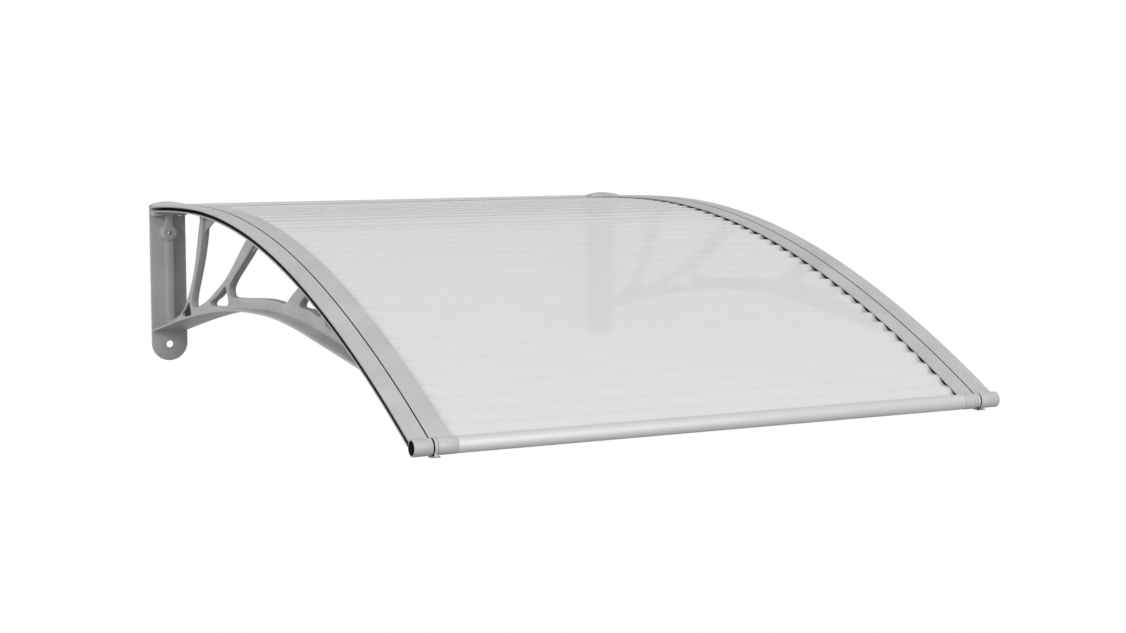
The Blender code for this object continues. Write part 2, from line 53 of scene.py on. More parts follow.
view_line = Vector((sin(CAMERA_TURN) * cos(CAMERA_TILT), cos(CAMERA_TURN) * cos(CAMERA_TILT),
                    -sin(CAMERA_TILT)))
camera.rotation_euler = view_line.to_track_quat("-Z", "Y").to_euler()
bpy.context.scene.camera = camera
bpy.context.scene.view_settings.view_transform = "Standard"


# The studio: a white room and a pale floor well below the canopy, with a broad soft lamp in
# front, a smaller one at the left and a weak one at the right. The room lights the object from
# the upper left front and throws little back up, so downward and wallward faces stay dark.
def add_node(tree, kind, inputs=None, **settings):
    """Adds a node; inputs gives each socket a value, or a link where the value is a socket."""
    made = tree.nodes.new(kind)
    for name, value in settings.items():
        setattr(made, name, value)
    for key, value in (inputs or {}).items():
        if isinstance(value, bpy.types.NodeSocket):
            tree.links.new(value, made.inputs[key])
        else:
            made.inputs[key].default_value = value
    return made


def linear(code):
    """Linear colour of an sRGB hex code."""
    def channel(value):
        return value / 12.92 if value <= 0.04045 else ((value + 0.055) / 1.055) ** 2.4
    return tuple(channel(int(code[k:k + 2], 16) / 255) for k in (1, 3, 5)) + (1.0,)


def two_tone(tree, share, dark, light):
    """Colour between two sRGB codes, by the share's socket."""
    mix = add_node(tree, "ShaderNodeMix", {"Factor": share, "A": linear(dark),
                                           "B": linear(light)}, data_type="RGBA")
    return mix.outputs["Result"]


def new_material(name):
    """Empty material; returns it, its tree and its output node."""
    material = bpy.data.materials.new(name)
    material.use_nodes = True
    tree = material.node_tree
    tree.nodes.clear()
    return material, tree, add_node(tree, "ShaderNodeOutputMaterial")


def seen_or_mirrored(tree):
    """One where the camera sees the surface, straight, mirrored or through glass, else zero."""
    path = add_node(tree, "ShaderNodeLightPath").outputs
    seen = add_node(tree, "ShaderNodeMath", {0: path["Is Camera Ray"], 1: path["Is Glossy Ray"]},
                    operation="MAXIMUM")
    return add_node(tree, "ShaderNodeMath", {0: seen.outputs[0], 1: path["Is Transmission Ray"]},
                    operation="MAXIMUM").outputs[0]


ROOM_LIGHT = (0.20, 0.56)        # strength from below and behind, and from ROOM_TOP
ROOM_TOP = (-0.3, -0.4, 0.87)    # the direction that the room is brightest in
ROOM_FADE = (-0.4, 0.7)          # the light grows between these cosines to it
world = bpy.data.worlds.new("white_room")
bpy.context.scene.world = world
world.use_nodes = True
room = world.node_tree
room.nodes.clear()
direction = add_node(room, "ShaderNodeTexCoord").outputs["Generated"]
toward = add_node(room, "ShaderNodeVectorMath", {0: direction, 1: ROOM_TOP},
                  operation="DOT_PRODUCT")
upper = add_node(room, "ShaderNodeMapRange", {
    "Value": toward.outputs["Value"], "From Min": ROOM_FADE[0], "From Max": ROOM_FADE[1],
    "To Min": ROOM_LIGHT[0], "To Max": ROOM_LIGHT[1]}, interpolation_type="SMOOTHSTEP")
lit = add_node(room, "ShaderNodeBackground", {"Color": (1, 1, 1, 1),
                                              "Strength": upper.outputs[0]})
shown = add_node(room, "ShaderNodeBackground", {"Color": (1, 1, 1, 1), "Strength": 1.0})
mixed = add_node(room, "ShaderNodeMixShader", {0: seen_or_mirrored(room), 1: lit.outputs[0],
                                               2: shown.outputs[0]})
add_node(room, "ShaderNodeOutputWorld", {"Surface": mixed.outputs[0]})

FLOOR_CENTRE = (0.37, -0.5, -1.10)
FLOOR_RADIUS = 1.9
floor_mesh = bpy.data.meshes.new("floor")
floor_shape = bmesh.new()
bmesh.ops.create_circle(floor_shape, cap_ends=True, segments=96, radius=FLOOR_RADIUS)
floor_shape.to_mesh(floor_mesh)
floor_shape.free()
floor_mesh.transform(Matrix.Translation(FLOOR_CENTRE))
floor = bpy.data.objects.new("floor", floor_mesh)
bpy.context.scene.collection.objects.link(floor)
paper, paper_tree, paper_out = new_material("pale_floor")
paper_colour = two_tone(paper_tree, seen_or_mirrored(paper_tree), "#6A6A6A", "#F2F2F2")
paper_shader = add_node(paper_tree, "ShaderNodeBsdfDiffuse", {"Color": paper_colour})
paper_tree.links.new(paper_shader.outputs[0], paper_out.inputs[0])
floor_mesh.materials.append(paper)


def lamp(name, place, target, size, power):
    """Adds a round area lamp that points at the target."""
    data = bpy.data.lights.new(name, "AREA")
    data.shape = "DISK"
    data.size = size
    data.energy = power
    made = bpy.data.objects.new(name, data)
    bpy.context.scene.collection.objects.link(made)
    made.location = place
    made.rotation_euler = (Vector(target) - Vector(place)).to_track_quat("-Z", "Y").to_euler()


lamp("front_top_lamp", (0.4, -3.8, 0.9), (0.40, -0.5, -0.05), 2.4, 63)
lamp("left_lamp", (-2.7, -1.4, 1.1), (0.0, -0.35, -0.1), 1.0, 30)
lamp("right_lamp", (3.2, -0.6, 0.8), (0.75, -0.5, -0.05), 1.0, 8)


# The two wall brackets: glass filled polypropylene, injection moulded in one piece each, with a
# wall plate, an open web 11 mm thick between two flanges, and a ring that holds the front bar.
# They follow the roof line, the underside of the cover lips: three tangent arcs.
OVERALL_WIDTH = 0.800    # over the four strips
STRIP_WIDTH = 0.052      # of the two strips on one bracket, and of its flange
HALF_STRIP = STRIP_WIDTH / 2
ARM_SPACING = OVERALL_WIDTH - STRIP_WIDTH
ROOF_ARCS = ((0.200, 2.95), (0.465, 1.48), (0.600, 1.90))     # length along the roof, radius
NOSE_AT = 1.0390         # place of the noses' axis along the roof line, and its lift
NOSE_DROP = -0.0011
NOSE_RADIUS = 0.0098
FLANGE_TOP = -0.0050     # lifts of the top flange's faces
FLANGE_BOTTOM = -0.0070
GAP = 0.0003             # clearance between two pieces
SINK = 0.0006            # how far joined shapes overlap
TOUCH = 0.0001           # keeps faces apart that would lie in one plane
OVERRUN = 0.0020         # how far a cut runs past what it cuts
SEAM = 0.0014            # between the two strips, and its place beside the bracket's middle
SEAM_ASIDE = -0.0028
FIN = 0.003              # width of the rib in the seam
FIN_TOP = 0.0006
LEG_INNER = FIN / 2 + GAP        # a strip's leg stands between these distances from the seam
LEG_OUTER = 0.0068
RING = 0.0050            # the ring at the nose ends here, measured from the seam
NECK = 0.025             # length of the neck behind the ring
WEB = 0.011
WEB_END = 0.852
PLATE_WIDTH = 0.055
PLATE_THICKNESS = 0.0045
TAB_CENTRE = -0.2330 + PLATE_WIDTH / 2
ARCH_BAND = 0.003        # thickness of the lower arch
BOSS = 0.026
BOSS_DEPTH = 0.0165
BOSS_EDGE = 0.0045       # radius of its rounded rim
BOSS_HOLE = 0.006
BOSS_HEIGHT = -0.0375
TAB_HOLE = 0.011
TAB_HOLE_HEIGHT = -0.2080
HEAD_DEPTH = 0.020       # the head block on the plate reaches out to the strips' rear ends
HEAD_BOTTOM = -0.0110
HEAD_EDGE = 0.0051
HEAD_CROWN = 0.0042
POCKET_WALL = 0.0032     # what is left of the web between the two pockets
NUB = 0.0110             # width of the small pad under the nose
NUB_FORWARD = 0.0030
NUB_HALF = 0.0050        # half its length at the top, and at the foot
NUB_FOOT = 0.0040
NUB_DROP = 0.0013
NUB_ROOT = 0.0040        # how far its root goes up into the ring
SOFT_EDGE = 0.0010       # rounding of the web's edges
RIM = 0.0004             # of the top flange, the ring, the rod and its sockets
ARCH_EDGE = 0.0005
PLATE_EDGE = 0.0008      # of the plate and the head
LONG = 90                # places along the roof line where a long piece bends

# The arch's underside: distance from the wall, height and slope. Each window: its points, as
# distance and height, then the distances at which its outline returns under the flange.
ARCH = ((0.0, -0.1885, 0.205), (0.28, -0.1348, 0.14), (0.525, -0.1167, 0.0),
        (0.675, -0.1267, -0.122), (0.865, -0.1497, -0.120))
WINDOW_REAR = (((0.1830, -0.0057), (0.1772, -0.0247), (0.1657, -0.0542), (0.1517, -0.0842),
                (0.1328, -0.1105), (0.1140, -0.1312), (0.0902, -0.1496), (0.0586, -0.1622),
                (0.0230, -0.1695), (0.0175, -0.1690), (0.0155, -0.1650), (0.0155, -0.1200),
                (0.0155, -0.0700), (0.0155, -0.0150)),
               (0.020, 0.080, 0.140, 0.175))
WINDOW_MIDDLE = (((0.1974, -0.0150), (0.1964, -0.0236), (0.1879, -0.0456), (0.1797, -0.0620),
                  (0.1689, -0.0801), (0.1570, -0.0980), (0.1465, -0.1130), (0.1395, -0.1250),
                  (0.1372, -0.1330), (0.1395, -0.1385), (0.1470, -0.1390), (0.1752, -0.1340),
                  (0.2235, -0.1191), (0.2567, -0.1050), (0.2938, -0.0881), (0.3258, -0.0691),
                  (0.3528, -0.0508), (0.3749, -0.0360), (0.3930, -0.0250)),
                 (0.409, 0.370, 0.330, 0.290, 0.250, 0.201))
WINDOW_LOW = (((0.2955, -0.0977), (0.2608, -0.1131), (0.2260, -0.1268), (0.2270, -0.1287),
               (0.2415, -0.1287), (0.2691, -0.1268), (0.3060, -0.1216), (0.3085, -0.1190),
               (0.3079, -0.1140), (0.3017, -0.1030), (0.2990, -0.0985)),
              ())
WINDOW_FRONT = (((0.4210, -0.0317), (0.3954, -0.0467), (0.3605, -0.0666), (0.3230, -0.0890),
                 (0.3128, -0.0980), (0.3125, -0.1050), (0.3180, -0.1086), (0.3300, -0.1092),
                 (0.3584, -0.1078), (0.4091, -0.1039), (0.4502, -0.1008), (0.4822, -0.0994),
                 (0.5134, -0.0994), (0.5370, -0.0998), (0.5450, -0.0985), (0.5670, -0.0871),
                 (0.5933, -0.0742)),
                (0.618, 0.580, 0.540, 0.500, 0.450))
WINDOW_SMALL = (((0.6147, -0.0845), (0.5960, -0.0965), (0.5955, -0.0992), (0.6000, -0.0996),
                 (0.6320, -0.1003), (0.6640, -0.1056), (0.6690, -0.1048), (0.6830, -0.0960)),
                (0.697, 0.670, 0.643))
WINDOW_TIP = (((0.6870, -0.1040), (0.6830, -0.1085), (0.6850, -0.1118), (0.7007, -0.1169),
               (0.7500, -0.1230), (0.7800, -0.1262)),
              (0.795, 0.765, 0.735, 0.712))
POCKET = ((0.1213, -0.1350), (0.1056, -0.1453), (0.0920, -0.1545), (0.0940, -0.1562),
          (0.1320, -0.1520), (0.1338, -0.1500), (0.1290, -0.1400), (0.1260, -0.1350))
GUSSETS = (((0.1940, -0.0300), (0.2025, -0.0234), (0.2169, -0.0170), (0.2451, -0.0060),
            (0.2200, 0.0005), (0.1900, -0.0020)),
           ((0.3950, -0.0440), (0.4038, -0.0423), (0.4120, -0.0393), (0.4255, -0.0345),
            (0.4400, -0.0284), (0.4560, -0.0226), (0.4560, -0.0215), (0.4200, -0.0165),
            (0.3950, -0.0300)))
GUSSET = 0.0026          # thickness of both gussets
ROD = 0.005
ROD_AT = 0.392           # the support rod's place along the roof line, and its lift
ROD_DROP = -0.0092
ROD_SEAT = 0.0085        # where its ends stop in the sockets, from the bracket's middle
SOCKET_WALL = 0.0015
BAR_BACK = (0.0018, 0.0043)      # the rear bar's upright, and its ledge under the sheet
LEDGE_END = 0.0165
LEDGE = 0.0020
BAR_TOP = 0.0036


def roof(along, lift=0.0):
    """Distance from the wall and height of a point on the roof line, lifted square to it."""
    distance, height, slope = 0.0, 0.0, -ROOF_ARCS[0][0] / ROOF_ARCS[0][1]
    rest = along
    for length, radius in ROOF_ARCS:
        run = min(rest, length)
        steeper = slope + run / radius
        distance += radius * (sin(steeper) - sin(slope))
        height += radius * (cos(steeper) - cos(slope))
        slope = steeper
        rest -= run
    return distance + lift * sin(slope), height + lift * cos(slope)


def along_at(distance):
    """Place along the roof line at a distance from the wall."""
    low, high = 0.0, 1.1
    for _ in range(30):
        middle = (low + high) / 2
        if roof(middle)[0] < distance:
            low = middle
        else:
            high = middle
    return low


def steps(first, last, count):
    """Evenly spaced values from first to last."""
    return [first + (last - first) * k / count for k in range(count + 1)]


def band(first, last, low, high, count=LONG):
    """Side outline that follows the roof line between two lifts."""
    return ([roof(s, low) for s in steps(first, last, count)]
            + [roof(s, high) for s in steps(last, first, count)])


def under_arch(distance, lift=0.0):
    """Point on the underside of the lower arch, lifted by the given height."""
    for (d0, z0, m0), (d1, z1, m1) in zip(ARCH, ARCH[1:]):
        if distance <= d1:
            break
    length = d1 - d0
    t = (distance - d0) / length
    height = (z0 * (1 + 2 * t) * (1 - t) ** 2 + m0 * length * t * (1 - t) ** 2
              + z1 * t * t * (3 - 2 * t) + m1 * length * t * t * (t - 1))
    return distance, height + lift


def as_mesh(source):
    """Plain welded mesh of an object with its faces outward; the object is removed."""
    bpy.context.view_layer.update()
    view = source.evaluated_get(bpy.context.evaluated_depsgraph_get())
    mesh = bpy.data.meshes.new_from_object(view)
    mesh.transform(source.matrix_world)
    bpy.data.objects.remove(source, do_unlink=True)
    shape = bmesh.new()
    shape.from_mesh(mesh)
    bmesh.ops.remove_doubles(shape, verts=shape.verts, dist=0.00001)
    bmesh.ops.dissolve_degenerate(shape, edges=shape.edges, dist=0.000005)
    bmesh.ops.recalc_face_normals(shape, faces=shape.faces)
    shape.to_mesh(mesh)
    shape.free()
    return mesh


def scratch_object(data):
    """Object that only stands in while a mesh is made."""
    made = bpy.data.objects.new("scratch", data)
    bpy.context.scene.collection.objects.link(made)
    return made


def filled_outline(loops, half, edge, rounded=()):
    """Mesh of flat loops with the given half thickness and rounded edges, lying on XY.

    A loop's first points, as many as rounded gives, are joined by smooth curves.
    """
    curve = bpy.data.curves.new("outline", "CURVE")
    curve.dimensions = "2D"
    curve.fill_mode = "BOTH"
    curve.resolution_u = 6
    curve.extrude = half - edge
    curve.bevel_depth = edge
    curve.bevel_resolution = 1
    curve.offset = -edge
    for loop, smooth in zip(loops, list(rounded) + [0] * len(loops)):
        spline = curve.splines.new("BEZIER" if smooth else "POLY")
        points = spline.bezier_points if smooth else spline.points
        points.add(len(loop) - 1)
        for number, (point, (across, up)) in enumerate(zip(points, loop)):
            if smooth:
                point.co = (across, up, 0)
                handle = "AUTO" if number < smooth else "VECTOR"
                point.handle_left_type = point.handle_right_type = handle
            else:
                point.co = (across, up, 0, 1)
        spline.use_cyclic_u = True
    return as_mesh(scratch_object(curve))


def side_slab(loops, x_low, x_high, edge=0.0, rounded=()):
    """Loops of (distance from the wall, height), filled between two places along X."""
    mesh = filled_outline(loops, (x_high - x_low) / 2, edge, rounded)
    middle = (x_low + x_high) / 2
    mesh.transform(Matrix(((0, 0, -1, middle), (-1, 0, 0, 0), (0, 1, 0, 0), (0, 0, 0, 1))))
    return mesh


def front_slab(outline, near, far, edge):
    """Outline of (x, height) points, filled between two distances from the wall."""
    mesh = filled_outline([outline], (far - near) / 2, edge)
    middle = -(near + far) / 2
    mesh.transform(Matrix(((1, 0, 0, 0), (0, 0, -1, middle), (0, 1, 0, 0), (0, 0, 0, 1))))
    return mesh


def turned(profile, place, turn, sides=64):
    """Profile of (radius, height) points turned about Z, then turned and moved into place."""
    shape = bmesh.new()
    points = [shape.verts.new((radius, 0, height)) for radius, height in profile]
    for first, second in zip(points, points[1:]):
        shape.edges.new((first, second))
    mesh = bpy.data.meshes.new("profile")
    shape.to_mesh(mesh)
    shape.free()
    made = scratch_object(mesh)
    screw = made.modifiers.new("turn", "SCREW")
    screw.steps = sides
    screw.render_steps = sides
    screw.use_merge_vertices = True
    screw.merge_threshold = 0.00001
    mesh = as_mesh(made)
    mesh.transform(Matrix.Translation(place) @ turn)
    return mesh


def along_x(radius, x_low, x_high, distance, height, edge=0.0, sides=64):
    """Round bar along X with rounded rims."""
    half = (x_high - x_low) / 2
    profile = [(0, half), (radius - edge, half), (radius - edge * 0.3, half - edge * 0.3),
               (radius, half - edge), (radius, edge - half),
               (radius - edge * 0.3, edge * 0.3 - half), (radius - edge, -half), (0, -half)]
    if not edge:
        profile = [(0, half), (radius, half), (radius, -half), (0, -half)]
    return turned(profile, ((x_low + x_high) / 2, -distance, height),
                  Matrix.Rotation(pi / 2, 4, "Y"), sides)


def out_of_wall(profile, height):
    """Profile of (radius, distance from the wall) points turned about a bolt's axis."""
    return turned(profile, (0, 0, height), Matrix.Rotation(pi / 2, 4, "X"))


def combined(target, tools, operation):
    """Mesh of the target with each tool joined to it or cut from it."""
    for tool in tools:
        body, cutter = scratch_object(target), scratch_object(tool)
        step = body.modifiers.new(operation, "BOOLEAN")
        step.operation = operation
        step.solver = "MANIFOLD"
        step.object = cutter
        target = as_mesh(body)
        bpy.data.objects.remove(cutter, do_unlink=True)
    return target


NOSE = roof(NOSE_AT, NOSE_DROP)
ROD_PLACE = roof(ROD_AT, ROD_DROP)
loops = [[under_arch(d, ARCH_BAND / 2) for d in steps(OVERRUN, WEB_END, 60)]
         + [roof(s, FLANGE_TOP - SINK) for s in steps(along_at(WEB_END - OVERRUN), OVERRUN, 60)]]
rounded = [0]
for points, returns in (WINDOW_REAR, WINDOW_MIDDLE, WINDOW_LOW, WINDOW_FRONT, WINDOW_SMALL,
                        WINDOW_TIP):
    loops.append(list(points) + [roof(along_at(d), FLANGE_BOTTOM + SINK) for d in returns])
    rounded.append(len(points))
web = side_slab(loops, -WEB / 2, WEB / 2, SOFT_EDGE, rounded)

flange_end = NOSE_AT - NOSE_RADIUS - GAP
arch_end = WEB_END + OVERRUN
arch = ([under_arch(d) for d in steps(SINK, arch_end, LONG)]
        + [under_arch(d, ARCH_BAND) for d in steps(arch_end - 4 * OVERRUN, SINK, LONG)])
half_plate = PLATE_WIDTH / 2
plate = ([(half_plate * sin(a), TAB_CENTRE - half_plate * cos(a))
          for a in steps(-pi / 2, pi / 2, 40)]
         + [(half_plate, HEAD_EDGE - SINK), (-half_plate, HEAD_EDGE - SINK)])
half_head = HALF_STRIP - TOUCH
head = ([(-half_head, HEAD_BOTTOM), (half_head, HEAD_BOTTOM)]
        + [(x, HEAD_EDGE + HEAD_CROWN * (1 - (x / half_head) ** 2))
           for x in steps(half_head, -half_head, 24)])
boss = [(0, SINK), (BOSS / 2, SINK)] + [
    (BOSS / 2 - BOSS_EDGE * (1 - cos(a)), BOSS_DEPTH - BOSS_EDGE * (1 - sin(a)))
    for a in steps(0, pi / 2, 8)] + [(0, BOSS_DEPTH)]
mould = combined(web, [
    side_slab([band(OVERRUN, flange_end, FLANGE_BOTTOM, FLANGE_TOP)], -HALF_STRIP, HALF_STRIP,
              RIM),
    side_slab([arch], -HALF_STRIP - GAP, HALF_STRIP + GAP, ARCH_EDGE),
    front_slab(plate, 0.0, PLATE_THICKNESS, PLATE_EDGE),
    front_slab(head, SINK, HEAD_DEPTH, PLATE_EDGE),
    out_of_wall(boss, BOSS_HEIGHT)]
    + [side_slab([gusset], -GUSSET / 2, GUSSET / 2) for gusset in GUSSETS], "UNION")
reach = HEAD_DEPTH + OVERRUN
mould = combined(mould, [
    side_slab([POCKET], POCKET_WALL / 2, WEB, 0.0, (len(POCKET),)),
    side_slab([POCKET], -WEB, -POCKET_WALL / 2, 0.0, (len(POCKET),)),
    out_of_wall([(0, -reach), (BOSS_HOLE / 2, -reach), (BOSS_HOLE / 2, reach), (0, reach)],
                BOSS_HEIGHT),
    out_of_wall([(0, -reach), (TAB_HOLE / 2, -reach), (TAB_HOLE / 2, reach), (0, reach)],
                TAB_HOLE_HEIGHT)], "DIFFERENCE")


def bracket(x, inward):
    """The bracket at x; inward is +1 where the sheet lies towards +X, else -1."""
    def span(low, high, centre=0.0):
        return sorted((centre + inward * low, centre + inward * high))

    neck = band(NOSE_AT - NECK, NOSE_AT, NOSE_DROP - NOSE_RADIUS + 2 * SINK, FLANGE_TOP - GAP, 4)
    nub_middle, nub_top = NOSE[0] + NUB_FORWARD, NOSE[1] - NOSE_RADIUS - GAP
    nub = [(nub_middle + side, nub_top + up) for side, up in (
        (-NUB_HALF, 0.0), (-NUB_FOOT, -NUB_DROP), (NUB_FOOT, -NUB_DROP), (NUB_HALF, 0.0))]
    root = [(nub_middle + side, nub_top + up) for side, up in (
        (-NUB_FOOT, NUB_ROOT), (-NUB_FOOT, -SINK), (NUB_FOOT, -SINK), (NUB_FOOT, NUB_ROOT))]
    fin = band(2 * OVERRUN, flange_end - SINK, FLANGE_TOP - SINK, FIN_TOP)
    in_ring = span(SEAM / 2 + TOUCH, RING - TOUCH, SEAM_ASIDE)
    mesh = combined(mould, [
        side_slab([fin], *span(-FIN / 2, FIN / 2, SEAM_ASIDE)),
        side_slab([neck], *in_ring),
        along_x(NOSE_RADIUS, *span(SEAM / 2, RING, SEAM_ASIDE), *NOSE, RIM),
        side_slab([nub], *span(-NUB / 2, NUB / 2)),
        side_slab([root], *in_ring),
        along_x(ROD / 2 + SOCKET_WALL, *span(OVERRUN, HALF_STRIP - SOCKET_WALL), *ROD_PLACE,
                RIM, 40)], "UNION")
    bar_room = [roof(along, lift) for along, lift in (
        (BAR_BACK[0] - GAP, FLANGE_TOP - LEDGE - GAP), (LEDGE_END + GAP, FLANGE_TOP - LEDGE - GAP),
        (LEDGE_END + GAP, LEDGE + 2 * GAP), (BAR_BACK[1] + GAP, LEDGE + 2 * GAP),
        (BAR_BACK[1] + GAP, BAR_TOP + GAP), (BAR_BACK[0] - GAP, BAR_TOP + GAP))]
    sheet_room = band(BAR_BACK[1], reach, FLANGE_TOP + TOUCH, 0.0, 1)
    spare_room = band(BAR_BACK[1], reach, FLANGE_TOP + TOUCH, -SINK, 1)
    mesh = combined(mesh, [
        along_x(ROD / 2 + GAP, *span(ROD_SEAT, STRIP_WIDTH), *ROD_PLACE, 0.0, 32),
        side_slab([bar_room], *span(LEG_OUTER, STRIP_WIDTH, SEAM_ASIDE)),
        side_slab([sheet_room], *span(LEG_OUTER, STRIP_WIDTH, SEAM_ASIDE)),
        side_slab([spare_room], *span(-STRIP_WIDTH, -LEG_OUTER, SEAM_ASIDE))], "DIFFERENCE")
    mesh.transform(Matrix.Translation((x, 0, 0)))
    return mesh


def piece(name, mesh, material, slot, *nodes, shade_material=None, shade_test=None):
    """Named piece with its material, riding on the canopy in place of its plain CAD nodes.

    Faces whose centre passes the given test take the second material, painted shade: a near black
    that stands in for the shade in gaps and hollows.
    """
    mesh.name = name
    mesh.materials.clear()
    mesh.materials.append(material)
    if shade_material:
        mesh.materials.append(shade_material)
    for face in mesh.polygons:
        face.material_index = 1 if shade_material and shade_test(face) else 0
    mesh.shade_smooth()
    mesh.set_sharp_from_angle(angle=radians(35))
    made = bpy.data.objects.new(name, mesh)
    bpy.context.scene.collection.objects.link(made)
    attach(made, "root")
    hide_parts(*nodes)


def moulded_grey(name, light, dark, rough):
    """Polypropylene from an eroded mould: an even grain breaks up its sheen, with faint clouds.

    The 0.3 mm grain is drawn 1.6 mm coarse, so that it shows as the fine speckle of the photo.
    """
    material, tree, out = new_material(name)
    place = add_node(tree, "ShaderNodeTexCoord").outputs["Object"]
    cloud = add_node(tree, "ShaderNodeTexNoise", {"Vector": place, "Scale": 14.0, "Detail": 3.0})
    grain = add_node(tree, "ShaderNodeTexNoise", {"Vector": place, "Scale": 1 / 0.0016,
                                                  "Detail": 2.0, "Roughness": 0.65})
    both = add_node(tree, "ShaderNodeMath", {0: cloud.outputs[0], 1: grain.outputs[0]},
                    operation="ADD")
    tone = add_node(tree, "ShaderNodeMapRange", {"Value": both.outputs[0], "From Min": 0.75,
                                                 "From Max": 1.25})
    bump = add_node(tree, "ShaderNodeBump", {"Strength": 0.3, "Distance": 0.0002,
                                             "Height": grain.outputs[0]})
    shader = add_node(tree, "ShaderNodeBsdfPrincipled", {
        "Base Color": two_tone(tree, tone.outputs[0], dark, light), "Roughness": rough,
        "IOR": 1.49, "Normal": bump.outputs[0]})
    tree.links.new(shader.outputs[0], out.inputs[0])
    return material


def rubber(name, light, dark):
    """Extruded rubber: dull, with a faint dust that breaks its tone into small clouds."""
    material, tree, out = new_material(name)
    place = add_node(tree, "ShaderNodeTexCoord").outputs["Object"]
    dust = add_node(tree, "ShaderNodeTexNoise", {"Vector": place, "Scale": 400.0})
    shader = add_node(tree, "ShaderNodeBsdfPrincipled", {
        "Base Color": two_tone(tree, dust.outputs[0], dark, light), "Roughness": 0.8})
    tree.links.new(shader.outputs[0], out.inputs[0])
    return material


# Painted shade: the slots, the seam, the pockets, the noses' bores and the sheet's edges under the
# strips get a near black that stands in for the shade in them, so they show as nearly black lines.
black_painted_shade = rubber("painted_shade_near_black", "#222221", "#141414")


def lift_of(centre):
    """Lift of a point over the roof line."""
    probe = 0.01
    foot = roof(along_at(-centre.y))
    ahead = roof(along_at(-centre.y) + probe)
    slope = (foot[1] - ahead[1]) / probe
    return (centre.z - foot[1]) * (1 - slope ** 2) ** 0.5


SEAM_FOOT = -0.030       # lift down to which the sides of the seam get painted shade
SHADE_INSET = 0.0004        # the painted shade keeps this far inside the strips' outer sides
LEG_SPREAD = 0.0035      # the slots' ends lie this near to LEG_OUTER, as the seam is off centre
POCKET_SPAN, POCKET_RISE = (0.090, 0.135), (-0.157, -0.134)


def in_seam(centre, x):
    """Whether a face centre lies on a side of the seam over the bracket at x."""
    beside = abs(abs(centre.x - x - SEAM_ASIDE) - SEAM / 2) < 2 * TOUCH
    return beside and -centre.y > HEAD_DEPTH and lift_of(centre) > SEAM_FOOT


def in_slot_or_pocket(x):
    """Test for the bracket's faces at x that get painted shade: slots, seam and pockets."""
    def test(face):
        centre, distance, lift = face.center, -face.center.y, lift_of(face.center)
        side = abs(centre.x - x)
        # painted shade: the flange top in the slot, the slot's end at the head, the pocket floors
        # and the seam are near black where shade falls
        slot_shade = (abs(lift - FLANGE_TOP) < 2 * TOUCH and side < HALF_STRIP - SHADE_INSET - TOUCH
                  and distance > BAR_BACK[1])
        back = (abs(side - LEG_OUTER) < LEG_SPREAD and FLANGE_TOP < lift < 0.0
                and distance < HEAD_DEPTH)
        pocket_shade = (side < POCKET_WALL / 2 + TOUCH and POCKET_SPAN[0] < distance < POCKET_SPAN[1]
               and POCKET_RISE[0] < centre.z < POCKET_RISE[1])
        seam = in_seam(centre, x) or (lift > FIN_TOP - TOUCH and distance > HEAD_DEPTH
                                      and abs(centre.x - x - SEAM_ASIDE) < FIN / 2)
        return slot_shade or back or pocket_shade or seam
    return test


bracket_grey = moulded_grey("moulded_polypropylene_grey", "#C1C1BF", "#AFAFAD", 0.5)
for name, node, x, inward in (("left_wall_bracket", "left_bracket", 0.0, 1),
                              ("right_wall_bracket", "right_bracket", ARM_SPACING, -1)):
    piece(name, bracket(x, inward), bracket_grey, "bracket_plastic", node, shade_material=black_painted_shade,
          shade_test=in_slot_or_pocket(x))


# The rear bar and the wall seal: a satin anodised aluminium profile that holds the sheet's rear
# edge, screwed between the bracket heads, with a grey rubber strip between it and the wall.
def metal(name, light, dark, rough, streak, body=1.0):
    """Extruded metal: drawn lines along X, so the sheen is a little uneven across the bar."""
    material, tree, out = new_material(name)
    place = add_node(tree, "ShaderNodeTexCoord").outputs["Object"]
    drawn = add_node(tree, "ShaderNodeMapping", {"Vector": place, "Scale": (0.02, 1.0, 1.0)})
    lines = add_node(tree, "ShaderNodeTexNoise", {"Vector": drawn.outputs[0], "Scale": 1 / streak,
                                                  "Detail": 3.0})
    sheen = add_node(tree, "ShaderNodeMapRange", {
        "Value": lines.outputs[0], "To Min": rough - 0.05, "To Max": rough + 0.05})
    shader = add_node(tree, "ShaderNodeBsdfPrincipled", {
        "Base Color": two_tone(tree, lines.outputs[0], dark, light),
        "Roughness": sheen.outputs[0], "Metallic": body})
    tree.links.new(shader.outputs[0], out.inputs[0])
    return material


def dress(node, material):
    """Puts a finish on a CAD node that keeps its own shape."""
    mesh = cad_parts[node].data
    mesh.materials.clear()
    mesh.materials.append(material)


anodised = metal("satin_anodised_aluminium", "#CBCCCB", "#BFC0BF", 0.6, 0.0012, 0.3)
dress("rear_bar", anodised)
dress("wall_seal", rubber("extruded_grey_rubber", "#C6C6C6", "#B8B8B8"))


# The middle rod: a thin aluminium rod between the brackets that stiffens the sheet from below.
# It is cut from drawn bar and pushed into a socket on each web.
piece("support_rod", along_x(ROD / 2, ROD_SEAT + GAP, ARM_SPACING - ROD_SEAT - GAP, *ROD_PLACE,
                             RIM, 40), anodised, "bar_metal", "middle_rod")


# The roof sheet: translucent polycarbonate, extruded flat, pressed into sine flutes along the
# wall and bent over the brackets. The frosted skin lets the brackets show through faintly, and
# its edges under the strips get painted shade, a near black for the shade in the gap under the
# lips.
FLUTE_PITCH = 0.0262
FLUTE_DEPTH = 0.0035
FLUTE_CREST = 1.036
SHEET_THICKNESS = 0.0009
SHEET_START = 0.006
SHEET_END = NOSE_AT - 0.003
SHEET_MARGIN = LEG_OUTER + GAP
COLUMNS = 5              # points across the sheet, and along it
ROWS = 944

roof_curve = bpy.data.curves.new("roof_line", "CURVE")
roof_curve.dimensions = "3D"
roof_run = roof_curve.splines.new("POLY")
roof_run.points.add(400)
for point, along in zip(roof_run.points, steps(0.0, NOSE_AT, 400)):
    distance, height = roof(along)
    point.co = (0, -distance, height, 1)


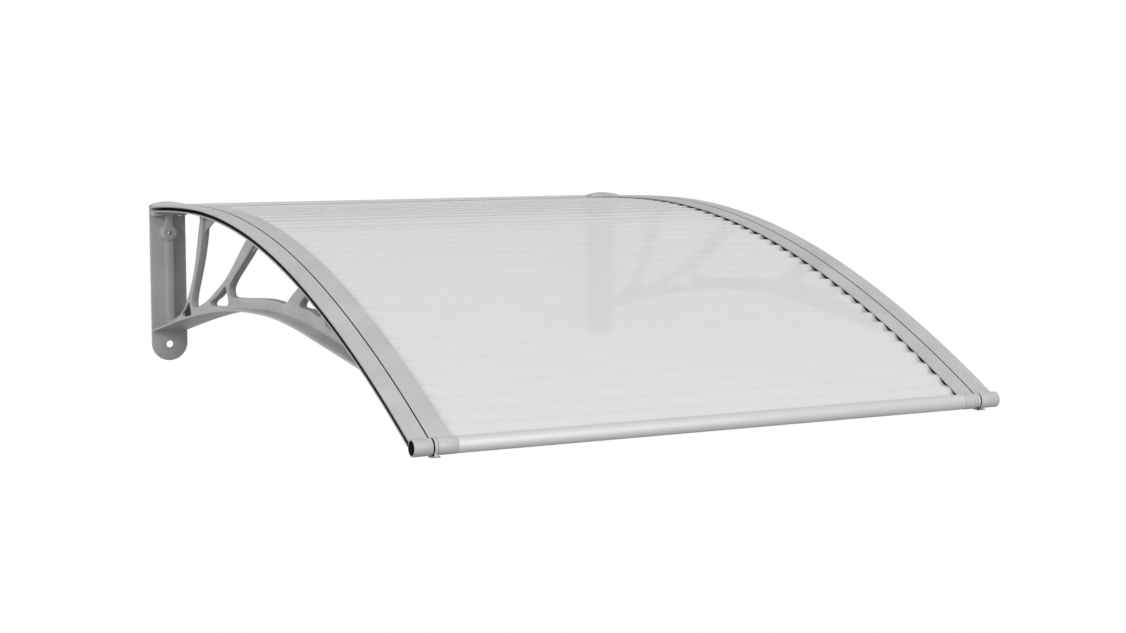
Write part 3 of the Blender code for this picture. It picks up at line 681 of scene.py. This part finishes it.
def new_group(name, inputs, output):
    """Geometry node group with one output; returns it and the sockets of its inputs."""
    group = bpy.data.node_groups.new(name, "GeometryNodeTree")
    for label, kind in inputs:
        group.interface.new_socket(label, in_out="INPUT", socket_type="NodeSocket" + kind)
    group.interface.new_socket(output, in_out="OUTPUT", socket_type="NodeSocketGeometry")
    return group, add_node(group, "NodeGroupInput").outputs


flutes, given = new_group("fluted_sheet", (
    ("Roof Line", "Geometry"), ("Width", "Float"), ("Start", "Float"), ("End", "Float"),
    ("Middle Lift", "Float"), ("Flute Pitch", "Float"), ("Flute Depth", "Float"),
    ("Crest", "Float"), ("Material", "Material")), "Sheet")


def maths(operation, first, second=0.0):
    """Result of one sum on two numbers or sockets in the sheet's tree."""
    return add_node(flutes, "ShaderNodeMath", {0: first, 1: second},
                    operation=operation).outputs[0]


length = maths("SUBTRACT", given["End"], given["Start"])
grid = add_node(flutes, "GeometryNodeMeshGrid", {"Size X": given["Width"], "Size Y": length,
                                                 "Vertices X": COLUMNS, "Vertices Y": ROWS})
where = add_node(flutes, "ShaderNodeSeparateXYZ",
                 {0: add_node(flutes, "GeometryNodeInputPosition").outputs[0]})
along = maths("ADD", maths("ADD", where.outputs["Y"], maths("DIVIDE", length, 2.0)),
              given["Start"])
spot = add_node(flutes, "GeometryNodeSampleCurve", {"Curves": given["Roof Line"],
                                                    "Length": along}, mode="LENGTH")
turns = maths("DIVIDE", maths("SUBTRACT", along, given["Crest"]), given["Flute Pitch"])
wave = maths("COSINE", maths("MULTIPLY", turns, 2 * pi))
lift = maths("ADD", maths("MULTIPLY", maths("MULTIPLY", wave, 0.5), given["Flute Depth"]),
             given["Middle Lift"])
square = add_node(flutes, "ShaderNodeVectorMath", {0: spot.outputs["Tangent"], 1: (1, 0, 0)},
                  operation="CROSS_PRODUCT")
noted = add_node(flutes, "GeometryNodeStoreNamedAttribute", {
    "Geometry": grid.outputs["Mesh"], "Name": "roof_square", "Value": square.outputs[0]},
    data_type="FLOAT_VECTOR", domain="POINT")
raised = add_node(flutes, "ShaderNodeVectorMath", {0: square.outputs[0], "Scale": lift},
                  operation="SCALE")
across = add_node(flutes, "ShaderNodeCombineXYZ", {"X": where.outputs["X"]})
on_roof = add_node(flutes, "ShaderNodeVectorMath", {0: spot.outputs["Position"],
                                                    1: raised.outputs[0]}, operation="ADD")
placed = add_node(flutes, "ShaderNodeVectorMath", {0: on_roof.outputs[0], 1: across.outputs[0]},
                  operation="ADD")
bent = add_node(flutes, "GeometryNodeSetPosition", {"Geometry": noted.outputs[0],
                                                    "Position": placed.outputs[0]})
real = add_node(flutes, "GeometryNodeRealizeInstances", {0: bent.outputs[0]})
painted = add_node(flutes, "GeometryNodeSetMaterial", {"Geometry": real.outputs[0],
                                                       "Material": given["Material"]})
add_node(flutes, "NodeGroupOutput", {0: painted.outputs[0]})


def set_inputs(modifier, values):
    """Gives a node modifier its inputs by name."""
    for item in modifier.node_group.interface.items_tree:
        if item.in_out == "INPUT" and item.name in values:
            modifier[item.identifier] = values[item.name]


# Light spreads sideways inside the frosted sheet, so the flutes shade only faintly: the shading
# normal leans from the flute's own to that of the smooth roof by this share.
SPREAD = 0.7
frosted, frosted_tree, frosted_out = new_material("frosted_polycarbonate")
sheet_place = add_node(frosted_tree, "ShaderNodeTexCoord").outputs["Object"]
sheet_cloud = add_node(frosted_tree, "ShaderNodeTexNoise", {"Vector": sheet_place, "Scale": 6.0,
                                                            "Detail": 2.0})
sheet_colour = two_tone(frosted_tree, sheet_cloud.outputs[0], "#DADADC", "#DFDFE1")
true_normal = add_node(frosted_tree, "ShaderNodeNewGeometry").outputs["Normal"]
roof_square = add_node(frosted_tree, "ShaderNodeAttribute", attribute_name="roof_square")
same_side = add_node(frosted_tree, "ShaderNodeVectorMath", {
    0: true_normal, 1: roof_square.outputs["Vector"]}, operation="DOT_PRODUCT")
side_sign = add_node(frosted_tree, "ShaderNodeMath", {0: same_side.outputs["Value"]},
                     operation="SIGN")
flat_normal = add_node(frosted_tree, "ShaderNodeVectorMath", {
    0: roof_square.outputs["Vector"], "Scale": side_sign.outputs[0]}, operation="SCALE")
spread = add_node(frosted_tree, "ShaderNodeMix", {
    "Factor": SPREAD, "A": true_normal, "B": flat_normal.outputs[0]}, data_type="VECTOR")
soft_normal = add_node(frosted_tree, "ShaderNodeVectorMath", {0: spread.outputs["Result"]},
                       operation="NORMALIZE")
frosted_shader = add_node(frosted_tree, "ShaderNodeBsdfPrincipled", {
    "Base Color": sheet_colour, "Roughness": 0.2, "IOR": 1.585, "Alpha": 0.78,
    "Normal": soft_normal.outputs[0], "Coat Weight": 1.0, "Coat Roughness": 0.1,
    "Coat Normal": soft_normal.outputs[0]})
frosted_tree.links.new(frosted_shader.outputs[0], frosted_out.inputs[0])

roof_line = scratch_object(roof_curve)
make_flutes = roof_line.modifiers.new("flutes", "NODES")
make_flutes.node_group = flutes
set_inputs(make_flutes, {
    "Width": ARM_SPACING - 2 * SHEET_MARGIN, "Start": SHEET_START, "End": SHEET_END,
    "Middle Lift": -GAP - FLUTE_DEPTH / 2 - SHEET_THICKNESS / 2,
    "Flute Pitch": FLUTE_PITCH, "Flute Depth": FLUTE_DEPTH, "Crest": FLUTE_CREST,
    "Material": frosted})
skin = as_mesh(roof_line)
skin.transform(Matrix.Translation((ARM_SPACING / 2 + SEAM_ASIDE, 0, 0)))

# The columns next to the sheet's sides move just under the strips' lips, where the painted shade
# on its edges ends.
under_left, under_right = HALF_STRIP - SINK, ARM_SPACING - HALF_STRIP + SINK
BESIDE_EDGE = 0.02       # these columns are farther than this from the brackets' middles
for point in skin.vertices:
    if BESIDE_EDGE < point.co.x < ARM_SPACING * 0.4:
        point.co.x = under_left
    elif ARM_SPACING * 0.6 < point.co.x < ARM_SPACING - BESIDE_EDGE:
        point.co.x = under_right
thick = scratch_object(skin)
wall = thick.modifiers.new("thickness", "SOLIDIFY")
wall.thickness = SHEET_THICKNESS
wall.offset = 0.0
wall.use_even_offset = True
# The sheet's faces under the strips get painted shade.
piece("fluted_roof_sheet", as_mesh(thick), frosted, "clear_sheet", "roof_sheet",
      shade_material=black_painted_shade, shade_test=lambda face: not under_left < face.center.x < under_right)


# The cover strips: two moulded strips clamp the sheet's edge and the bracket's flange from above.
# Each is nearly flat, stands on a leg over the flange, and ends in a round nose at the front. The
# slot for a sheet, used or empty, and the open nose get painted shade, a near black for the shade
# in them.
LIP_TOP = 0.0020         # lift of a strip's side edge, and how much higher its middle is
CROWN = 0.0010
COVER_WALL = 0.0020
CORNER = ((0.0, 0.0005), (0.0002, 0.0001))       # a strip's rounded upper edge: inward, down
CORNER_END = 0.0006
NOSE_EDGE = 0.0005       # rounding of the noses' and the spigots' rims
SPIGOT = 0.008
SPIGOT_LENGTH = 0.020
SPIGOT_SINK = 0.004
SPIGOT_PLACE = roof(NOSE_AT + 0.0030, NOSE_DROP)
BORE = NOSE_RADIUS - SOCKET_WALL
SHEET_SLOT = band(NOSE_AT - NOSE_RADIUS - 2 * OVERRUN, SHEET_END + GAP, FLANGE_TOP - GAP, GAP, 1)


def swept(section, x, first, last):
    """Section of (x, lift) points carried along the roof line."""
    profile = bpy.data.curves.new("section", "CURVE")
    profile.dimensions = "2D"
    outline = profile.splines.new("POLY")
    outline.points.add(len(section) - 1)
    for point, (aside, up) in zip(outline.points, section):
        point.co = (-aside, up, 0, 1)
    outline.use_cyclic_u = True
    shape = scratch_object(profile)
    run = bpy.data.curves.new("run", "CURVE")
    run.dimensions = "3D"
    run.twist_mode = "Z_UP"
    run.bevel_mode = "OBJECT"
    run.bevel_object = shape
    run.use_fill_caps = True
    spline = run.splines.new("POLY")
    spline.points.add(LONG)
    for point, along in zip(spline.points, steps(first, last, LONG)):
        distance, height = roof(along)
        point.co = (x, -distance, height, 1)
    mesh = as_mesh(scratch_object(run))
    bpy.data.objects.remove(shape, do_unlink=True)
    return mesh


def cover(x, inward, towards):
    """Cover over the sheet where towards is +1, or over the free side where it is -1."""
    turn = inward * towards
    seam, edge, near = x + SEAM_ASIDE, HALF_STRIP - turn * SEAM_ASIDE, SEAM / 2

    def span(low, high):
        return sorted((seam + turn * low, seam + turn * high))

    def top(aside, down=0.0):
        across = (SEAM_ASIDE + turn * aside) / HALF_STRIP
        return aside, LIP_TOP + CROWN * (1 - across ** 2) - down

    section = ([top(near + aside, down) for aside, down in CORNER]
               + [top(u) for u in steps(near + CORNER_END, edge - CORNER_END, 14)]
               + [top(edge - aside, down) for aside, down in reversed(CORNER)]
               + [top(u, COVER_WALL) for u in steps(edge, LEG_OUTER, 6)]
               + [(LEG_OUTER, FLANGE_TOP + GAP), (LEG_INNER, FLANGE_TOP + GAP),
                  top(LEG_INNER, COVER_WALL), top(near, COVER_WALL)])
    shell = swept([(turn * u, up) for u, up in section], seam, along_at(HEAD_DEPTH) + 2 * GAP,
                  NOSE_AT - NOSE_RADIUS / 2)
    roll_from = RING + GAP if towards > 0 else near
    shell = combined(shell, [along_x(NOSE_RADIUS, *span(roll_from, edge), *NOSE, NOSE_EDGE)],
                     "UNION")
    if towards < 0:
        bore = along_x(BORE, *span(FIN, edge + OVERRUN), *NOSE)
        return combined(shell, [bore], "DIFFERENCE")
    ring_room = along_x(NOSE_RADIUS + GAP, *span(-OVERRUN, roll_from), *NOSE)
    shell = combined(shell, [ring_room], "DIFFERENCE")
    spigot = along_x(SPIGOT / 2, *span(edge - SPIGOT_SINK, edge + SPIGOT_LENGTH), *SPIGOT_PLACE,
                     NOSE_EDGE, 32)
    shell = combined(shell, [spigot], "UNION")
    return combined(shell, [side_slab([SHEET_SLOT], *span(SHEET_MARGIN, edge + OVERRUN))],
                    "DIFFERENCE")


LIP_UNDER = 0.0011       # faces under the lips have a smaller lift than this


def in_slot_or_nose(x):
    """Test for the faces under the lips and in the nose's bore that get painted shade."""
    def test(face):
        centre = face.center
        lift, side = lift_of(centre), abs(centre.x - x)
        from_nose = ((centre.y + NOSE[0]) ** 2 + (centre.z - NOSE[1]) ** 2) ** 0.5
        inside = side < HALF_STRIP - SHADE_INSET
        under_lip = lift < LIP_UNDER and inside and from_nose > NOSE_RADIUS + TOUCH
        bored = from_nose < BORE + TOUCH and inside
        return under_lip or bored or in_seam(centre, x)
    return test


cover_grey = moulded_grey("moulded_polypropylene_light_grey", "#BFBFBD", "#ADADAB", 0.45)
for side, x, inward in (("left", 0.0, 1), ("right", ARM_SPACING, -1)):
    for kind, towards in (("outer", -1), ("inner", 1)):
        piece(f"{side}_{kind}_strip", cover(x, inward, towards), cover_grey, "cover_plastic",
              f"{side}_{kind}_cover", shade_material=black_painted_shade, shade_test=in_slot_or_nose(x))


# The front bar: a round aluminium profile with a slot for the sheet's front edge, pushed on the
# spigots of the inner covers, almost flush with their noses.
BAR_EDGE = 0.0003        # rounding of its rims
front_bar = along_x(NOSE_RADIUS - GAP, HALF_STRIP + GAP, ARM_SPACING - HALF_STRIP - GAP, *NOSE,
                    BAR_EDGE, 96)
front_bar = combined(front_bar, [
    side_slab([SHEET_SLOT], 0.0, ARM_SPACING),
    along_x(SPIGOT / 2 + GAP, 0.0, ARM_SPACING, *SPIGOT_PLACE, 0.0, 48)], "DIFFERENCE")
piece("round_front_bar", front_bar, anodised, "bar_metal", "front_bar")


# The screws: zinc plated pan heads with a cross recess, driven from below through the flange
# into the legs of the covers, and through the bracket heads into the rear bar.
SCREWS_AT = (0.100, 0.500, 0.950)        # places along the roof line
SCREW_ASIDE = 0.0043                     # from the seam
SCREW_SHANK = 0.0026
SCREW_LENGTH = 0.0062                    # to the shoulder of the tip, and to its end
SCREW_END = 0.0067
SCREW_HEAD = 0.0056
PAN_HEIGHT = 0.0020
PAN_CURVE = ((0.0012, 0.00185), (0.0004, 0.0014), (0.0, 0.0008))     # inward, height
RECESS = (0.0028, 0.0006, 0.0018)        # size of one arm of the cross
BAR_SCREW_AT = 0.0105
BAR_SCREW_ASIDE = 0.0160
BAR_SCREW_SEAT = HEAD_BOTTOM - 0.0012
zinc = metal("zinc_plated_steel", "#C9C8C2", "#B4B3AD", 0.32, 0.0006)
pan_radius = SCREW_HEAD / 2
shank_radius = SCREW_SHANK / 2
one_screw = turned(
    [(0, -PAN_HEIGHT)] + [(pan_radius - inward, -height) for inward, height in PAN_CURVE]
    + [(pan_radius, 0.0), (shank_radius, 0.0), (shank_radius, SCREW_LENGTH), (0, SCREW_END)],
    (0, 0, 0), Matrix.Identity(4), 24)
cross = bmesh.new()
for quarter in (0, pi / 2):
    arm = bmesh.ops.create_cube(cross, size=1.0)["verts"]
    bmesh.ops.scale(cross, vec=RECESS, verts=arm)
    bmesh.ops.rotate(cross, verts=arm, cent=(0, 0, 0), matrix=Matrix.Rotation(quarter, 3, "Z"))
    bmesh.ops.translate(cross, verts=arm, vec=(0, 0, -PAN_HEIGHT))
cross_mesh = bpy.data.meshes.new("cross")
cross.to_mesh(cross_mesh)
cross.free()
one_screw = combined(one_screw, [cross_mesh], "DIFFERENCE")

screws, screw_given = new_group("screws_in_place", (
    ("Places", "Geometry"), ("Screw", "Object"), ("Material", "Material")), "Screws")
upward = add_node(screws, "GeometryNodeInputNamedAttribute", {"Name": "upward"},
                  data_type="FLOAT_VECTOR")
turn_up = add_node(screws, "FunctionNodeAlignRotationToVector", {"Vector": upward.outputs[0]},
                   axis="Z")
screw_shape = add_node(screws, "GeometryNodeObjectInfo", {"Object": screw_given["Screw"]})
copies = add_node(screws, "GeometryNodeInstanceOnPoints", {
    "Points": screw_given["Places"], "Instance": screw_shape.outputs["Geometry"],
    "Rotation": turn_up.outputs[0]})
real_screws = add_node(screws, "GeometryNodeRealizeInstances", {0: copies.outputs[0]})
plated = add_node(screws, "GeometryNodeSetMaterial", {"Geometry": real_screws.outputs[0],
                                                      "Material": screw_given["Material"]})
add_node(screws, "NodeGroupOutput", {0: plated.outputs[0]})

places, directions = [], []
for arm_at, inward in ((0.0, 1), (ARM_SPACING, -1)):
    seats = [(along, arm_at + SEAM_ASIDE + side * SCREW_ASIDE, FLANGE_BOTTOM - GAP)
             for along in SCREWS_AT for side in (-1, 1)]
    seats.append((BAR_SCREW_AT, arm_at + inward * BAR_SCREW_ASIDE, BAR_SCREW_SEAT))
    for along, x, lift in seats:
        foot, above = roof(along, lift), roof(along, lift + 0.01)
        places.append((x, -foot[0], foot[1]))
        directions.append((0.0, foot[0] - above[0], above[1] - foot[1]))
place_mesh = bpy.data.meshes.new("screw_places")
place_mesh.from_pydata(places, [], [])
upward_data = place_mesh.attributes.new("upward", "FLOAT_VECTOR", "POINT")
for entry, direction in zip(upward_data.data, directions):
    entry.vector = direction
screw_object = scratch_object(one_screw)
place_object = scratch_object(place_mesh)
fix_screws = place_object.modifiers.new("screws", "NODES")
fix_screws.node_group = screws
set_inputs(fix_screws, {"Screw": screw_object, "Material": zinc})
all_screws = as_mesh(place_object)
bpy.data.objects.remove(screw_object, do_unlink=True)
screw_nodes = [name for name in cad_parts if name.endswith("_screw")]
piece("pan_head_screws", all_screws, zinc, "screw_steel", *screw_nodes)
